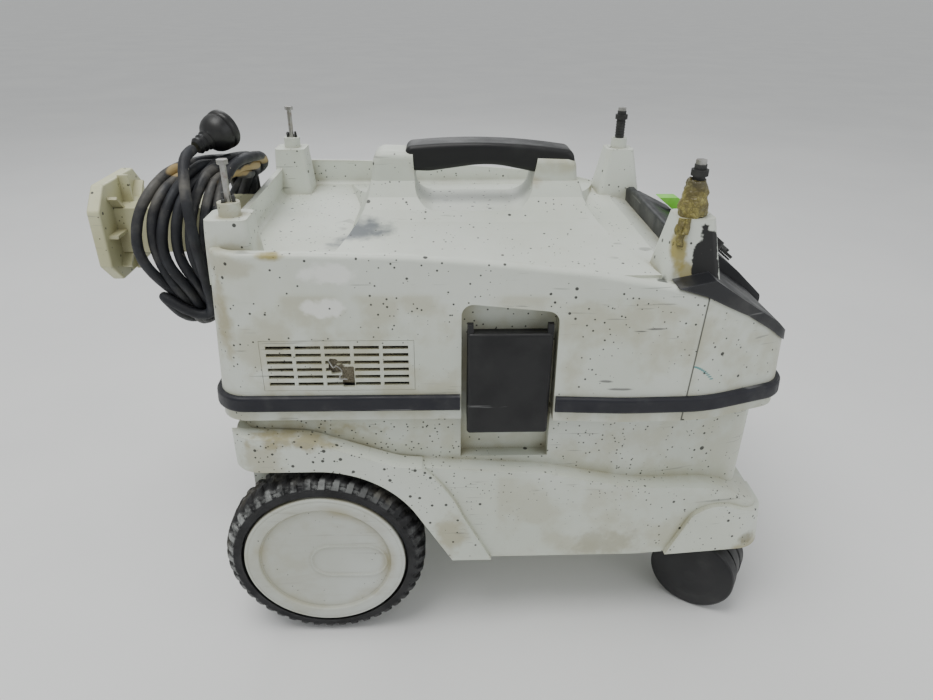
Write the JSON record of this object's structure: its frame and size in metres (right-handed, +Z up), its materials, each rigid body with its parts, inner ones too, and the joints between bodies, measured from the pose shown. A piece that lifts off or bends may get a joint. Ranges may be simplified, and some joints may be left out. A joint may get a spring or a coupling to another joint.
{
  "type": "mobile dust extractor",
  "caption": "Wheeled wet-and-dry dust extractor: dirt tank, latched motor head with carrying bridge, four rack posts and a cord hook.",
  "frame": {"origin": "on the floor, under the middle of the whole machine's length and width", "axes": "+X to the machine's front, +Y to its left side, +Z up"},
  "size_m": [0.6536, 0.382, 0.485],
  "materials": {
    "shell": "moulded off-white, fine texture, speckled and scuffed",
    "console": "satin dark grey moulding",
    "grip": "satin black moulding",
    "bumper": "worn satin rubber",
    "green": "satin bright green",
    "dark_plastic": "fine matte",
    "steel": "zinc plated, dulled",
    "board": "lacquered board",
    "board_card": "pressed card",
    "motor_shell": "pressed, satin",
    "fan_metal": "stamped, satin",
    "copper": "lacquered winding",
    "seal": "matte",
    "foam": "open-cell foam",
    "filter_paper": "pleated fleece",
    "bag_fleece": "soft fleece",
    "hook": "yellowed cream moulding",
    "cord": "dusty rubber sheath",
    "float": "hollow float",
    "latch": "smooth matte black",
    "rim_plastic": "matte moulding",
    "tyre": "lugged rubber, dusty",
    "cap": "off-white moulding, soiled",
    "caster_plastic": "matte moulding",
    "caster_wheel": "satin moulding"
  },
  "bodies": {
    "tank": {"tank": "shell", "tank_seal": "seal", "inlet_port": "dark_plastic", "filter_bag": "bag_fleece", "bag_collar": "board_card", "rear_axle": "steel", "axle_clips": "steel", "latch_pins": "steel"},
    "turbine": {"motor_shaft": "steel", "turbine_fan": "fan_metal", "motor_armature": "copper"},
    "float": {"float_ball": "float"},
    "switch": {"main_switch_knob": "green"},
    "dial": {"power_dial": "dark_plastic"},
    "lid": {"socket_lid": "dark_plastic"},
    "latch_right": {"latch_right": "latch"},
    "latch_left": {"latch_left": "latch"},
    "wheel_right": {"wheel_rim_right": "rim_plastic", "tyre_right": "tyre", "hub_cap_right": "cap"},
    "wheel_left": {"wheel_rim_left": "rim_plastic", "tyre_left": "tyre", "hub_cap_left": "cap"},
    "caster_right": {"caster_hood_right": "caster_plastic", "caster_stem_right": "steel", "caster_axle_right": "steel"},
    "caster_left": {"caster_hood_left": "caster_plastic", "caster_stem_left": "steel", "caster_axle_left": "steel"},
    "caster_wheels_right": {"caster_wheels_right": "caster_wheel"},
    "caster_wheels_left": {"caster_wheels_left": "caster_wheel"},
    "head": {"head_cover": "shell", "nose_cover": "shell", "control_console": "console", "grip_cover": "grip", "side_grille_right": "shell", "side_grille_left": "shell", "bumper_rear": "bumper", "bumper_front": "bumper", "head_base_plate": "shell", "main_switch_body": "dark_plastic", "power_potentiometer": "dark_plastic", "appliance_socket": "dark_plastic", "socket_lid_pin": "steel", "electronics_board": "board", "cover_screws": "steel", "rack_bolts": "steel", "rack_sleeves": "dark_plastic", "fan_housing": "motor_shell", "motor_body": "motor_shell", "motor_seal": "seal", "motor_mount": "seal", "exhaust_foam": "foam", "filter_cage": "dark_plastic", "filter_cartridge": "filter_paper", "filter_nut": "dark_plastic", "cable_gland": "dark_plastic", "cord_hook": "hook", "power_cord": "cord", "mains_plug": "cord"}
  },
  "joints": [
    {"name": "head_lift", "type": "slide", "parent": "tank", "child": "head", "axis": [0, 0, 1], "range_m": [0, 0.3]},
    {"name": "turbine_spin", "type": "hinge", "parent": "head", "child": "turbine", "pos_m": [-0.00075, 0, 0.3], "axis": [0, 0, 1], "continuous": true},
    {"name": "float_rise", "type": "slide", "parent": "head", "child": "float", "axis": [0, 0, 1], "range_m": [0, 0.055]},
    {"name": "main_switch_turn", "type": "hinge", "parent": "head", "child": "switch", "pos_m": [0.26395, 0.05, 0.36392], "axis": [-0.6157, 0, -0.788], "range_deg": [0, 90]},
    {"name": "power_dial_turn", "type": "hinge", "parent": "head", "child": "dial", "pos_m": [0.26158, -0.044, 0.36577], "axis": [0.6157, 0, 0.788], "range_deg": [-135, 135]},
    {"name": "socket_lid_open", "type": "hinge", "parent": "head", "child": "lid", "pos_m": [0.2577, 0, 0.37705], "axis": [0, -1, 0], "range_deg": [0, 100]},
    {"name": "latch_right_open", "type": "hinge", "parent": "tank", "child": "latch_right", "pos_m": [0.05725, -0.164, 0.24], "axis": [1, 0, 0], "range_deg": [0, 90]},
    {"name": "latch_left_open", "type": "hinge", "parent": "tank", "child": "latch_left", "pos_m": [0.05725, 0.164, 0.24], "axis": [-1, 0, 0], "range_deg": [0, 90]},
    {"name": "wheel_right_spin", "type": "hinge", "parent": "tank", "child": "wheel_right", "pos_m": [-0.11425, -0.17, 0.096], "axis": [0, 1, 0], "continuous": true},
    {"name": "wheel_left_spin", "type": "hinge", "parent": "tank", "child": "wheel_left", "pos_m": [-0.11425, 0.17, 0.096], "axis": [0, 1, 0], "continuous": true},
    {"name": "caster_right_swivel", "type": "hinge", "parent": "tank", "child": "caster_right", "pos_m": [0.25225, -0.128, 0.09], "axis": [0, 0, 1], "continuous": true},
    {"name": "caster_left_swivel", "type": "hinge", "parent": "tank", "child": "caster_left", "pos_m": [0.25225, 0.128, 0.09], "axis": [0, 0, 1], "continuous": true},
    {"name": "caster_right_roll", "type": "hinge", "parent": "caster_right", "child": "caster_wheels_right", "pos_m": [0.27322, -0.14162, 0.043], "axis": [0.5446, 0.8387, 0], "continuous": true},
    {"name": "caster_left_roll", "type": "hinge", "parent": "caster_left", "child": "caster_wheels_left", "pos_m": [0.27574, 0.11945, 0.043], "axis": [0.342, 0.9397, 0], "continuous": true}
  ]
}
